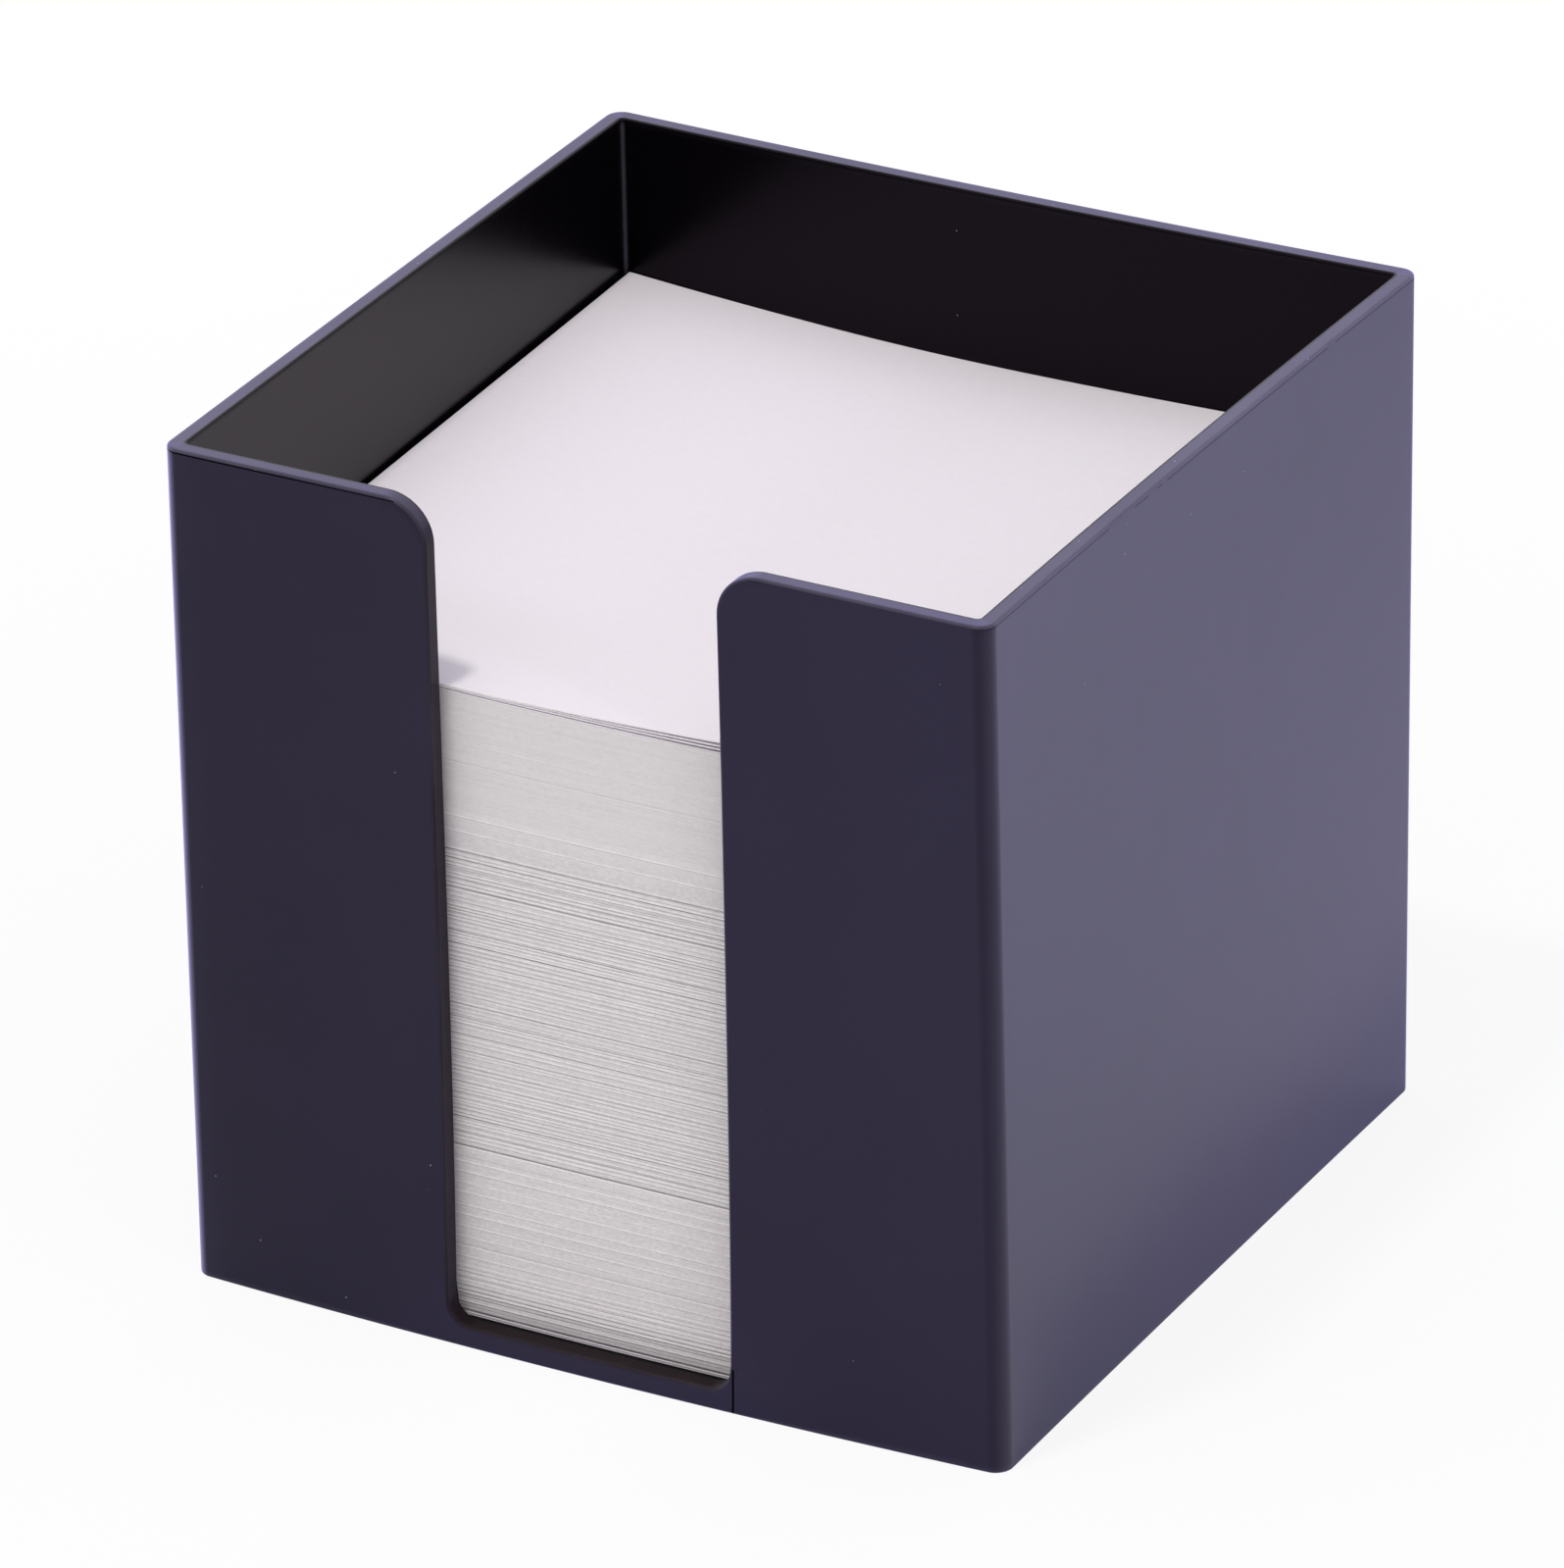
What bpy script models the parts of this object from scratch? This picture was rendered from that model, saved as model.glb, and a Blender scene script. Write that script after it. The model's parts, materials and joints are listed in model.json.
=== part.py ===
# Memo box: a moulded open box with a finger slot, and the stack of loose note sheets in it.
# The origin is at the bottom centre of the box. The slot is in the wall at -Y. Lengths are in metres.
import math
import random

import bmesh
import bpy
from mathutils import Matrix, Vector

# Note sheets: the box is made round them
SHEET_SIDE = 0.090
SHEET_THICKNESS = 0.0001

# Box
BOX_HEIGHT = 0.095
FLOOR_THICKNESS = 0.0020
RIM_WALL = 0.0019
SHEET_GAP = 0.0002  # between a sheet's edge and the wall, at the floor
INNER_DRAFT = 0.0004  # each inner wall leans out this far, floor to rim
OUTER_DRAFT = 0.00015  # each outer wall leans out this far, base to rim
OUTER_CORNER = 0.0019  # radius of the four upright outer edges
INNER_CORNER = 0.0004  # radius of the four upright inner edges
EDGE_BREAK = 0.0003  # rounding of the rim's and the slot's outer edges

# Finger slot
SLOT_WIDTH = 0.0335
SILL_STEP = 0.0002  # how far the sill stands above the floor
SLOT_SHOULDER = 0.005  # radius where the slot meets the rim
SLOT_FOOT = 0.0028  # radius where the slot meets its sill

# Underside
RECESS_DEPTH = 0.0005
RECESS_BORDER = 0.0045  # width of the flat border that the box stands on
RECESS_CORNER = 0.003
GATE_RADIUS = 0.0013
GATE_HEIGHT = 0.0003

# Stack of sheets, from the floor up
LAY_GAP = 0.0001  # air between one sheaf and the next
LOWER_HEIGHT = 0.0190
MIDDLE_HEIGHT = 0.0342
UPPER_HEIGHT = 0.0176
LOOSE_GAP = 0.00005  # air under each of the loose top sheets, at their left edge
LOOSE_FAN = 0.00042  # how much more air there is at their right edge
BACK_RISE = 0.00228  # how much higher the block's back left corner stands than its front one
SIDE_RISE = 0.00118  # how much higher its curled left and right edges stand than its middle
RIGHT_FALL = 0.0003  # how much lower the block's right edge lies
BOTTOM_SHEET_COUNT = 2
LOWER_SHEAF_COUNT = 6
MIDDLE_SHEAF_COUNT = 10
UPPER_SHEAF_COUNT = 5

# Shares that shape the curl, and the share of the free gap beside it that a sheaf may shift by
BACK_FADE_SHARE = 0.917  # of the back's rise, that is gone at the right edge
CURL_POWER = 1.5
FAN_START_SHARE = 0.25  # how far across the loose sheets lie close before they part
SHIFT_SHARE = 0.15

# Finishes
BOX_COLOUR = (0.028, 0.022, 0.045)
BOX_ROUGHNESS = 0.38
PAPER_COLOUR = (0.62, 0.60, 0.61)
PAPER_LIGHTER = 0.12  # how much lighter the top sheet is than the lowest
PAPER_ROUGHNESS = 0.85

# Facets and working values
CORNER_SEGMENTS = 8
ARC_SEGMENTS = 10
BREAK_SEGMENTS = 2
CURL_SEGMENTS = 6
GATE_SEGMENTS = 24
OVERRUN = 0.002  # how far a cutter runs past what it cuts
MERGE_SHARE = 0.01  # of the edge break, within which points are made one
SHARP_ANGLE = math.radians(50)
SMOOTH_ANGLE = math.radians(25)
SEED = 11

# Worked out from the above
SHEET_HALF = SHEET_SIDE / 2
RIM_HALF = SHEET_HALF + SHEET_GAP + INNER_DRAFT + RIM_WALL
BASE_HALF = RIM_HALF - OUTER_DRAFT
SILL = FLOOR_THICKNESS + SILL_STEP
STACK_BASE = FLOOR_THICKNESS + LAY_GAP
SHEET_STEP = SHEET_THICKNESS + LAY_GAP
LOOSE_STEP = SHEET_THICKNESS + LOOSE_GAP
LOWER_BASE = BOTTOM_SHEET_COUNT * SHEET_STEP
MIDDLE_BASE = LOWER_BASE + LOWER_HEIGHT
UPPER_BASE = MIDDLE_BASE + MIDDLE_HEIGHT
LOOSE_BASE = UPPER_BASE + UPPER_HEIGHT


def collection_named(name):
    found = bpy.data.collections.new(name)
    bpy.context.scene.collection.children.link(found)
    return found


def finish(name, colour, roughness):
    # A material of one node's own
    made = bpy.data.materials.new(name)
    made.use_nodes = True
    shader = made.node_tree.nodes["Principled BSDF"]
    shader.inputs["Base Color"].default_value = (*colour, 1.0)
    shader.inputs["Roughness"].default_value = roughness
    shader.inputs["Metallic"].default_value = 0.0
    return made


def object_from(name, shape, home):
    # An object made from a bmesh, which is freed
    mesh = bpy.data.meshes.new(name)
    shape.to_mesh(mesh)
    shape.free()
    made = bpy.data.objects.new(name, mesh)
    home.objects.link(made)
    return made


def cutter_from(name, shape, home):
    made = object_from(name, shape, home)
    made.hide_render = True
    made.display_type = "WIRE"
    return made


def inner_half(height):
    # Half of the inner width at a height: the walls lean out from floor to rim
    rise = (height - FLOOR_THICKNESS) / (BOX_HEIGHT - FLOOR_THICKNESS)
    return SHEET_HALF + SHEET_GAP + INNER_DRAFT * rise


def tapered_block(low_half, high_half, low, high, corner):
    # A square block that widens upwards, with its four upright edges rounded
    shape = bmesh.new()
    bmesh.ops.create_cube(shape, size=2.0)
    for vert in shape.verts:
        half = high_half if vert.co.z > 0 else low_half
        level = high if vert.co.z > 0 else low
        vert.co = Vector((vert.co.x * half, vert.co.y * half, level))
    upright = [
        edge for edge in shape.edges if edge.verts[0].co.z != edge.verts[1].co.z
    ]
    bmesh.ops.bevel(
        shape,
        geom=upright,
        offset=corner,
        offset_type="OFFSET",
        segments=CORNER_SEGMENTS,
        profile=0.5,
        affect="EDGES",
    )
    bmesh.ops.recalc_face_normals(shape, faces=shape.faces)
    return shape


def arc(centre, radius, start, end):
    # Points along an arc in the X-Z plane, with its angles in degrees
    points = []
    for step in range(ARC_SEGMENTS + 1):
        angle = math.radians(start + (end - start) * step / ARC_SEGMENTS)
        x = centre[0] + radius * math.cos(angle)
        z = centre[1] + radius * math.sin(angle)
        points.append((x, z))
    return points


def slot_outline():
    # The slot's right half from its sill up, then the same mirrored to the left
    half = SLOT_WIDTH / 2
    foot_centre = (half - SLOT_FOOT, SILL + SLOT_FOOT)
    shoulder_centre = (half + SLOT_SHOULDER, BOX_HEIGHT - SLOT_SHOULDER)
    right = arc(foot_centre, SLOT_FOOT, -90, 0)
    right += arc(shoulder_centre, SLOT_SHOULDER, 180, 90)
    right.append((half + SLOT_SHOULDER, BOX_HEIGHT + OVERRUN))
    left = [(-x, z) for x, z in reversed(right)]
    return right + left


def slot_shape():
    # The outline as a flat curve with depth, turned upright, run from the front wall's outside
    # to half way into the box, and made a mesh
    curve = bpy.data.curves.new("slot_outline", "CURVE")
    curve.dimensions = "2D"
    curve.fill_mode = "BOTH"
    front = RIM_HALF + OVERRUN
    back = SHEET_HALF / 2
    curve.extrude = (front - back) / 2
    outline = slot_outline()
    spline = curve.splines.new("POLY")
    spline.points.add(len(outline) - 1)
    for point, (x, z) in zip(spline.points, outline):
        point.co = (x, z, 0.0, 1.0)
    spline.use_cyclic_u = True
    drawn = bpy.data.objects.new("slot_outline", curve)
    bpy.context.scene.collection.objects.link(drawn)
    drawn.rotation_euler = (math.radians(90), 0.0, 0.0)
    drawn.location = (0.0, -(front + back) / 2, 0.0)
    bpy.context.view_layer.update()
    graph = bpy.context.evaluated_depsgraph_get()
    mesh = bpy.data.meshes.new_from_object(drawn.evaluated_get(graph))
    shape = bmesh.new()
    shape.from_mesh(mesh)
    shape.transform(drawn.matrix_world)
    merge = EDGE_BREAK * MERGE_SHARE
    bmesh.ops.remove_doubles(shape, verts=shape.verts, dist=merge)
    bmesh.ops.recalc_face_normals(shape, faces=shape.faces)
    bpy.data.objects.remove(drawn)
    bpy.data.curves.remove(curve)
    bpy.data.meshes.remove(mesh)
    return shape


def gate_shape():
    # The stub of plastic that is left under the floor where the mould was filled
    low = RECESS_DEPTH - GATE_HEIGHT
    high = (RECESS_DEPTH + FLOOR_THICKNESS) / 2
    shape = bmesh.new()
    bmesh.ops.create_cone(
        shape,
        cap_ends=True,
        segments=GATE_SEGMENTS,
        radius1=GATE_RADIUS,
        radius2=GATE_RADIUS,
        depth=high - low,
        matrix=Matrix.Translation((0.0, 0.0, (low + high) / 2)),
    )
    return shape


def combine(target, tool, operation):
    # Cuts or joins a tool, and keeps the result as the target's own mesh
    step = target.modifiers.new(tool.name, "BOOLEAN")
    step.operation = operation
    step.solver = "EXACT"
    step.object = tool
    bpy.context.view_layer.update()
    graph = bpy.context.evaluated_depsgraph_get()
    mesh = bpy.data.meshes.new_from_object(target.evaluated_get(graph))
    target.modifiers.clear()
    target.data = mesh


def on_outside(edge):
    # True for a sharp outer edge of the rim or of the slot, on the block before it is hollowed
    if len(edge.link_faces) != 2 or not edge.is_convex:
        return False
    if edge.calc_face_angle() < SHARP_ANGLE:
        return False
    above = all(vert.co.z > FLOOR_THICKNESS for vert in edge.verts)
    outer = all(max(abs(vert.co.x), abs(vert.co.y)) > SHEET_HALF for vert in edge.verts)
    return above and outer


def break_edges(target):
    # Rounds the outer edges of the rim and of the slot, as the mould's parting edge leaves them
    shape = bmesh.new()
    shape.from_mesh(target.data)
    merge = EDGE_BREAK * MERGE_SHARE
    bmesh.ops.remove_doubles(shape, verts=shape.verts, dist=merge)
    bmesh.ops.bevel(
        shape,
        geom=[edge for edge in shape.edges if on_outside(edge)],
        offset=EDGE_BREAK,
        offset_type="OFFSET",
        segments=BREAK_SEGMENTS,
        profile=0.5,
        affect="EDGES",
        clamp_overlap=True,
    )
    shape.to_mesh(target.data)
    shape.free()


def make_housing(home, tools):
    # A drafted block: the slot first, then its edges, then the hollow and the underside
    block = tapered_block(BASE_HALF, RIM_HALF, 0.0, BOX_HEIGHT, OUTER_CORNER)
    housing = object_from("housing", block, home)
    combine(housing, cutter_from("slot_cutter", slot_shape(), tools), "DIFFERENCE")
    break_edges(housing)
    top = BOX_HEIGHT + OVERRUN
    cavity = tapered_block(
        inner_half(FLOOR_THICKNESS), inner_half(top), FLOOR_THICKNESS, top, INNER_CORNER
    )
    combine(housing, cutter_from("cavity_cutter", cavity, tools), "DIFFERENCE")
    half = BASE_HALF - RECESS_BORDER
    recess = tapered_block(half, half, -OVERRUN, RECESS_DEPTH, RECESS_CORNER)
    combine(housing, cutter_from("recess_cutter", recess, tools), "DIFFERENCE")
    combine(housing, cutter_from("gate_mark", gate_shape(), tools), "UNION")
    housing.data.shade_smooth()
    housing.data.set_sharp_from_angle(angle=SMOOTH_ANGLE)
    housing.data.materials.clear()
    housing.data.materials.append(finish("housing", BOX_COLOUR, BOX_ROUGHNESS))
    return housing


def curl(x, y):
    # Rise of the block's top above the middle of its front edge: a shallow trough from front
    # to back that climbs towards the back, most at the left
    across = (x + SHEET_HALF) / SHEET_SIDE
    along = (y + SHEET_HALF) / SHEET_SIDE
    sides = (2 * across - 1) ** 2
    climb = along * (1 - BACK_FADE_SHARE * across)
    return SIDE_RISE * sides + BACK_RISE * climb - RIGHT_FALL * across


def fan(x):
    # How much further apart the loose sheets lie, from nothing at the left to all of it at the right
    across = (x + SHEET_HALF) / SHEET_SIDE
    opened = min(1.0, max(0.0, (across - FAN_START_SHARE) / (1 - FAN_START_SHARE)))
    return LOOSE_FAN * opened**2 * (3 - 2 * opened)


def surface(level, x, y):
    # Height of the sheet at a level of the stack: flat low down, curled and fanned towards the top
    curled = max(0.0, level - MIDDLE_BASE) / (LOOSE_BASE - MIDDLE_BASE)
    fanned = max(0.0, level - LOOSE_BASE) / LOOSE_STEP
    rise = curled**CURL_POWER * curl(x, y) + fanned * fan(x)
    return STACK_BASE + level + rise


def sheaf_shape(low, high, placed):
    # A square slab that follows the curl of the stack, with the same thickness all over
    segments = CURL_SEGMENTS if high > MIDDLE_BASE else 1
    shape = bmesh.new()
    bmesh.ops.create_grid(
        shape, x_segments=segments, y_segments=segments, size=SHEET_HALF
    )
    bmesh.ops.triangulate(shape, faces=shape.faces, quad_method="FIXED")
    under = list(shape.verts)
    raised = bmesh.ops.extrude_face_region(shape, geom=list(shape.faces))
    upper = [item for item in raised["geom"] if isinstance(item, bmesh.types.BMVert)]
    for verts, thickness in ((under, 0.0), (upper, high - low)):
        for vert in verts:
            spot = placed @ vert.co
            vert.co.z = surface(low, spot.x, spot.y) + thickness
    bmesh.ops.recalc_face_normals(shape, faces=shape.faces)
    return shape


def make_body(name, level, parent, home):
    # The empty of a body that lifts, on the stack's upright axis at the height of its lowest sheet
    height = STACK_BASE + level
    empty = bpy.data.objects.new(name, None)
    home.objects.link(empty)
    empty.empty_display_size = SHEET_HALF
    empty.parent = parent
    below = parent.matrix_world.translation.z if parent else 0.0
    empty.location = (0.0, 0.0, height - below)
    bpy.context.view_layer.update()
    return empty


def lay(name, low, high, body, chance, home):
    # One sheaf or sheet, laid a little out of line within the free gap beside it
    free = inner_half(STACK_BASE + low) - SHEET_HALF
    reach = free * SHIFT_SHARE
    shift_x = chance.uniform(-reach, reach)
    shift_y = chance.uniform(-reach, reach)
    turn = chance.uniform(-reach, reach) / SHEET_SIDE
    placed = Matrix.Translation((shift_x, shift_y, 0.0)) @ Matrix.Rotation(turn, 4, "Z")
    shape = sheaf_shape(low, high, placed)
    base = STACK_BASE + low
    shape.transform(Matrix.Translation((0.0, 0.0, -base)))
    sheaf = object_from(name, shape, home)
    sheaf.parent = body
    sheaf.location = (shift_x, shift_y, base - body.matrix_world.translation.z)
    sheaf.rotation_euler = (0.0, 0.0, turn)
    lighter = 1 + PAPER_LIGHTER * low / LOOSE_BASE
    tone = [channel * lighter for channel in PAPER_COLOUR]
    sheaf.data.materials.append(finish(name, tone, PAPER_ROUGHNESS))
    return sheaf


def lay_pack(pattern, base, height, count, body, chance, home):
    # A pack of sheaves, one on the other with a little air between
    step = height / count
    for number in range(count):
        low = base + number * step
        lay(pattern % (number + 1), low, low + step - LAY_GAP, body, chance, home)


def make_stack(home):
    # Each body that lifts carries what lies on it, so its empty is the parent of the next one up
    chance = random.Random(SEED)
    lower = make_body("lower_pack", 0.0, None, home)
    middle = make_body("middle_pack", MIDDLE_BASE, lower, home)
    upper = make_body("upper_pack", UPPER_BASE, middle, home)
    lay_pack("bottom_sheet_%d", 0.0, LOWER_BASE, BOTTOM_SHEET_COUNT, lower, chance, home)
    lay_pack(
        "lower_sheaf_%d", LOWER_BASE, LOWER_HEIGHT, LOWER_SHEAF_COUNT, lower, chance, home
    )
    lay_pack(
        "middle_sheaf_%d", MIDDLE_BASE, MIDDLE_HEIGHT, MIDDLE_SHEAF_COUNT, middle, chance, home
    )
    lay_pack(
        "upper_sheaf_%d", UPPER_BASE, UPPER_HEIGHT, UPPER_SHEAF_COUNT, upper, chance, home
    )
    under = upper
    level = LOOSE_BASE
    for name in ("third_sheet", "second_sheet", "top_sheet"):
        level += LOOSE_STEP
        under = make_body(name + "_body", level, under, home)
        lay(name, level, level + SHEET_THICKNESS, under, chance, home)


def main():
    for old in list(bpy.data.objects):
        bpy.data.objects.remove(old)
    parts = collection_named("memo_box")
    tools = collection_named("cutters")
    make_housing(parts, tools)
    make_stack(parts)


main()
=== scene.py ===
import functools
import json
import math

import bpy
import numpy as np
from mathutils import Matrix, Vector


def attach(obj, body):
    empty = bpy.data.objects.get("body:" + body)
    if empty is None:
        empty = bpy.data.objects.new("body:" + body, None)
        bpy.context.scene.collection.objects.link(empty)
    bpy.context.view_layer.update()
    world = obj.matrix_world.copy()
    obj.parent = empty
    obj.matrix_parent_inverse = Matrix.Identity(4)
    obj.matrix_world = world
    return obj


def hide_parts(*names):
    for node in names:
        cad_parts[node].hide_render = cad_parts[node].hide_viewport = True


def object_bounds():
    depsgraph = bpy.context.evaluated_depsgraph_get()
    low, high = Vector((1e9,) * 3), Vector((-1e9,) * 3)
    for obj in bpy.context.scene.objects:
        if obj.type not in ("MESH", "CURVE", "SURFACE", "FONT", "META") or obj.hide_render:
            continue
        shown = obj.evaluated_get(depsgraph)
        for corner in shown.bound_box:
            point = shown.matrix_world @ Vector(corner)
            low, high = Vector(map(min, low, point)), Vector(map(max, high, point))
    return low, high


# Memo box: a moulded plastic box with a finger slot, full of loose note sheets.
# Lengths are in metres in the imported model's own frame: the slot is at -Y and +Z is up.

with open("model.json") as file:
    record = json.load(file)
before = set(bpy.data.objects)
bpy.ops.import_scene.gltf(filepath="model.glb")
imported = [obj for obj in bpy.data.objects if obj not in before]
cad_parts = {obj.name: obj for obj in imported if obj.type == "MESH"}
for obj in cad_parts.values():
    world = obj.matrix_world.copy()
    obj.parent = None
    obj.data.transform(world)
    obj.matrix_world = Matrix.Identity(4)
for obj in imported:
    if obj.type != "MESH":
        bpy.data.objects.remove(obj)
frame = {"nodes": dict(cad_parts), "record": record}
cadLow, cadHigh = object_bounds()
mm = 0.001


def hexColour(text):
    # an sRGB hex colour turned to the linear values that a shader wants
    channels = [int(text[i : i + 2], 16) / 255 for i in (1, 3, 5)]
    return (*[c / 12.92 if c <= 0.04045 else ((c + 0.055) / 1.055) ** 2.4 for c in channels], 1.0)


def coloursOf(values):
    # every hex colour among a piece's values, turned to linear
    return {key: hexColour(value) for key, value in values.items() if isinstance(value, str)}


def addNode(tree, kind, feeds=None, **settings):
    # one node with its settings, and for each input that feeds names a value, a socket to link,
    # or a node whose first output in use is linked
    node = tree.nodes.new("ShaderNode" + kind)
    for key, value in settings.items():
        setattr(node, key, value)
    for socket, source in (feeds or {}).items():
        if isinstance(source, bpy.types.Node):
            source = next(output for output in source.outputs if output.enabled)
        if isinstance(source, bpy.types.NodeSocket):
            tree.links.new(source, node.inputs[socket])
        else:
            node.inputs[socket].default_value = source
    return node


def emptyMaterial(name):
    made = bpy.data.materials.new(name)
    made.use_nodes = True
    made.node_tree.nodes.clear()
    return made


def strewnSpecks(add, place, values, name):
    # 1 in the middles of some cells, each speck with its own size, and 0 between them
    spacing, share = values[name + "Spacing"], values[name + "Share"]
    cell = add("TexVoronoi", {"Vector": place, "Scale": 1 / spacing}).outputs
    pick = add("SeparateColor", {"Color": cell["Color"]}).outputs["Red"]
    over = add("Math", {0: pick, 1: 1 - share}, operation="SUBTRACT")
    limit = add("Math", {0: over, 1: values[name + "Radius"] / spacing / share}, operation="MULTIPLY")
    return add("Math", {0: cell["Distance"], 1: limit}, operation="LESS_THAN")


def meshObject(name, points, faces, marks=None):
    # an object at the origin from whole arrays: points, faces, and one value a point for each mark
    mesh = bpy.data.meshes.new(name)
    mesh.from_pydata(points.reshape(-1, 3).tolist(), [], faces)
    for key, values in (marks or {}).items():
        made = mesh.attributes.new(key, "FLOAT", "POINT")
        made.data.foreach_set("value", np.ravel(values).astype(np.float32))
    mesh.shade_smooth()
    piece = bpy.data.objects.new(name, mesh)
    bpy.context.scene.collection.objects.link(piece)
    return piece


# Box: what a user would change, in the order of the moulding
box = {
    "height": cadHigh.z,
    "rimHalf": cadHigh.x,  # half the outer width at the rim
    "outerDraft": 0.15 * mm,  # the outer walls lean out this far, base to rim
    "outerCorner": 1.9 * mm,
    "floor": 2.0 * mm,
    "innerHalf": 45.2 * mm,  # half the inner width at the floor
    "innerDraft": 0.4 * mm,
    "innerCorner": 0.5 * mm,
    "edgeRound": 0.3 * mm,  # outer edge of the rim and the slot
    "innerRound": 0.2 * mm,  # inner edge of the same
    "baseRound": 0.15 * mm,
    "slotHalf": 16.75 * mm,
    "sill": 2.2 * mm,
    "foot": 2.8 * mm,  # radius of the slot's lower corners
    "shoulder": 5.0 * mm,  # radius where the slot meets the rim
    "recessDepth": 0.5 * mm,
    "recessBorder": 4.5 * mm,
    "recessCorner": 3.0 * mm,
    "gateRadius": 1.3 * mm,
    "gateHeight": 0.3 * mm,
}

# How finely the box is meshed: stations along the lip's runs and arcs, faces round an edge, and
# the shares of the way at which rings lie on the floor, up a wall and across the lip
lipSteps = {"level": 8, "foot": 12, "jamb": 24, "shoulder": 16, "corner": 11, "wall": 32}
roundSteps = 5
floorShares = (0.3, 0.5, 0.7, 0.85, 0.97, 1.0)
wallShares = (0.01, 0.04, 0.1, 0.2, 0.3, 0.4, 0.5, 0.6, 0.7, 0.8, 0.88, 0.94, 0.98, 0.993)
lipShares = (0.15, 0.4, 0.65, 0.85)
sharpAngle = math.radians(40)

# How rubbed the edges are, from 0 to 1; the worn colour on the rim's top, its rounds and the
# inner corners is also painted highlight
edgeWearAndHighlight = {"inside": 0.1, "slot": 0.45, "base": 0.3}
wearAndHighlightEndGain = 3.0  # how soon the wear and its painted highlight end at the foot of the rim's outer round

# How the cooled moulding leans and bows. Corners run front left, front right, back right, back
# left, each with its shift in x and y; sides run front, right, back, left, each drawn inwards
warp = {
    "rimCorners": np.array([(0.26, -0.30), (-0.58, -0.29), (-0.02, 0.34), (-0.17, -0.08)]) * mm,
    "rimLifts": np.array([0.2, 0.0, 0.0, 0.0]) * mm,
    "baseCorners": np.array([(-0.12, 0.14), (0.28, 0.10), (-0.03, -0.15), (0.0, 0.0)]) * mm,
    "rimBows": np.array([0.0, 0.52, 0.71, -0.10]) * mm,
    "baseBows": np.array([-1.23, 0.19, 0.0, 0.0]) * mm,  # the front's foot bellies out
    "rimPower": 1.5,
    "basePower": 4,
    "wallStart": 40.0 * mm,  # the walls' bows fade out over the floor between these two
    "wallEnd": 45.0 * mm,
    "innerLeast": 45.15 * mm,  # the paper keeps the right wall's inside from leaning in further
    "propTop": 77.0 * mm,
    "propFade": 0.021,  # and above that it may lean in by this share of the height
    "jambLeft": 0.2 * mm,  # the slot's jambs are drawn together, the right one less and less upwards
    "jambRight": 0.3 * mm,
    "jambFade": 1.5,
    "jambPower": 1.5,
    "jambReach": 22.0 * mm,
    "floorDip": 0.35 * mm,  # the floor sinks behind the sill, and the lowest sheets with it
    "dipTop": 19.0 * mm,
}


def outerHalf(z):
    return box["rimHalf"] - box["outerDraft"] * (1 - z / box["height"])


def innerHalf(z):
    rise = (z - box["floor"]) / (box["height"] - box["floor"])
    return box["innerHalf"] + box["innerDraft"] * rise


def stations(first, last, kind):
    return np.linspace(first, last, lipSteps[kind] + 1)[:-1]


def lipPath():
    # Stations along the closed lip, anticlockwise from the middle of the sill. Each has its place
    # on the front wall (x, z), the way into the wall's own plane (inX, inZ), the x of its foot on
    # the base, the share of the straight run that it follows (mix, run), the angle of its wall's
    # normal and the angle of the surface's normal, which differ only round a corner.
    half, foot, shoulder = box["slotHalf"], box["foot"], box["shoulder"]
    sill, top = box["sill"], box["height"]
    down, up = np.radians(stations(-90, 0, "foot")), np.radians(stations(180, 90, "shoulder"))
    still, wall = stations(0, 1, "level"), stations(0, 1, "jamb")
    zero, one = np.zeros_like, np.ones_like
    footX, footZ = half - foot + foot * np.cos(down), sill + foot + foot * np.sin(down)
    wallZ = sill + foot + (top - shoulder - sill - foot) * wall
    shoulderX, shoulderZ = half + shoulder + shoulder * np.cos(up), top - shoulder + shoulder * np.sin(up)
    parts = [
        ((half - foot) * still, sill * one(still), zero(still), -one(still), still),
        (footX, footZ, np.cos(down), np.sin(down), None),
        (half * one(wall), wallZ, one(wall), zero(wall), wall),
        (shoulderX, shoulderZ, -np.cos(up), -np.sin(up), None),
        ((half + shoulder) * one(still), top * one(still), zero(still), -one(still), still),
    ]
    baseMarks = [0.0, half - foot, half - foot / 4, 2 * half - foot, 2 * half]  # each part's first footX
    rows = []
    for number, (x, z, inX, inZ, along) in enumerate(parts):
        along = np.linspace(0, 1, len(x) + 1)[:-1] if along is None else along
        last = number == len(parts) - 1
        low = baseMarks[number]
        high = low if last else baseMarks[number + 1]
        mix = along if last else np.zeros_like(along)
        rows.append(np.stack([x, z, inX, inZ, low + (high - low) * along, mix]))
    right = np.concatenate(rows, axis=1)
    left = right[:, :0:-1] * np.array([-1, 1, -1, 1, -1, 1])[:, None]
    turn = stations(0, 90, "corner")
    run = stations(-1, 1, "wall")
    blocks = [np.vstack([right, np.ones((1, right.shape[1])), np.full((2, right.shape[1]), -90.0)])]
    for side in range(4):
        angle = -90.0 + 90 * side
        if side:
            blocks.append(aroundBlock(run, angle, np.zeros_like(run)))
        blocks.append(aroundBlock(np.ones_like(turn), angle, turn))
    blocks.append(np.vstack([left, -np.ones((1, left.shape[1])), np.full((2, left.shape[1]), -90.0)]))
    names = ("x", "z", "inX", "inZ", "footX", "mix", "run", "side", "normal")
    return dict(zip(names, np.concatenate(blocks, axis=1)))


def aroundBlock(run, angle, turn):
    # stations of a plain wall or of a corner, whose lip is the level rim
    size = len(run)
    top = np.full(size, box["height"])
    still, full = np.zeros(size), np.ones(size)
    return np.stack([still, top, still, -full, still, full, run, np.full(size, angle), angle + turn])


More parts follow.
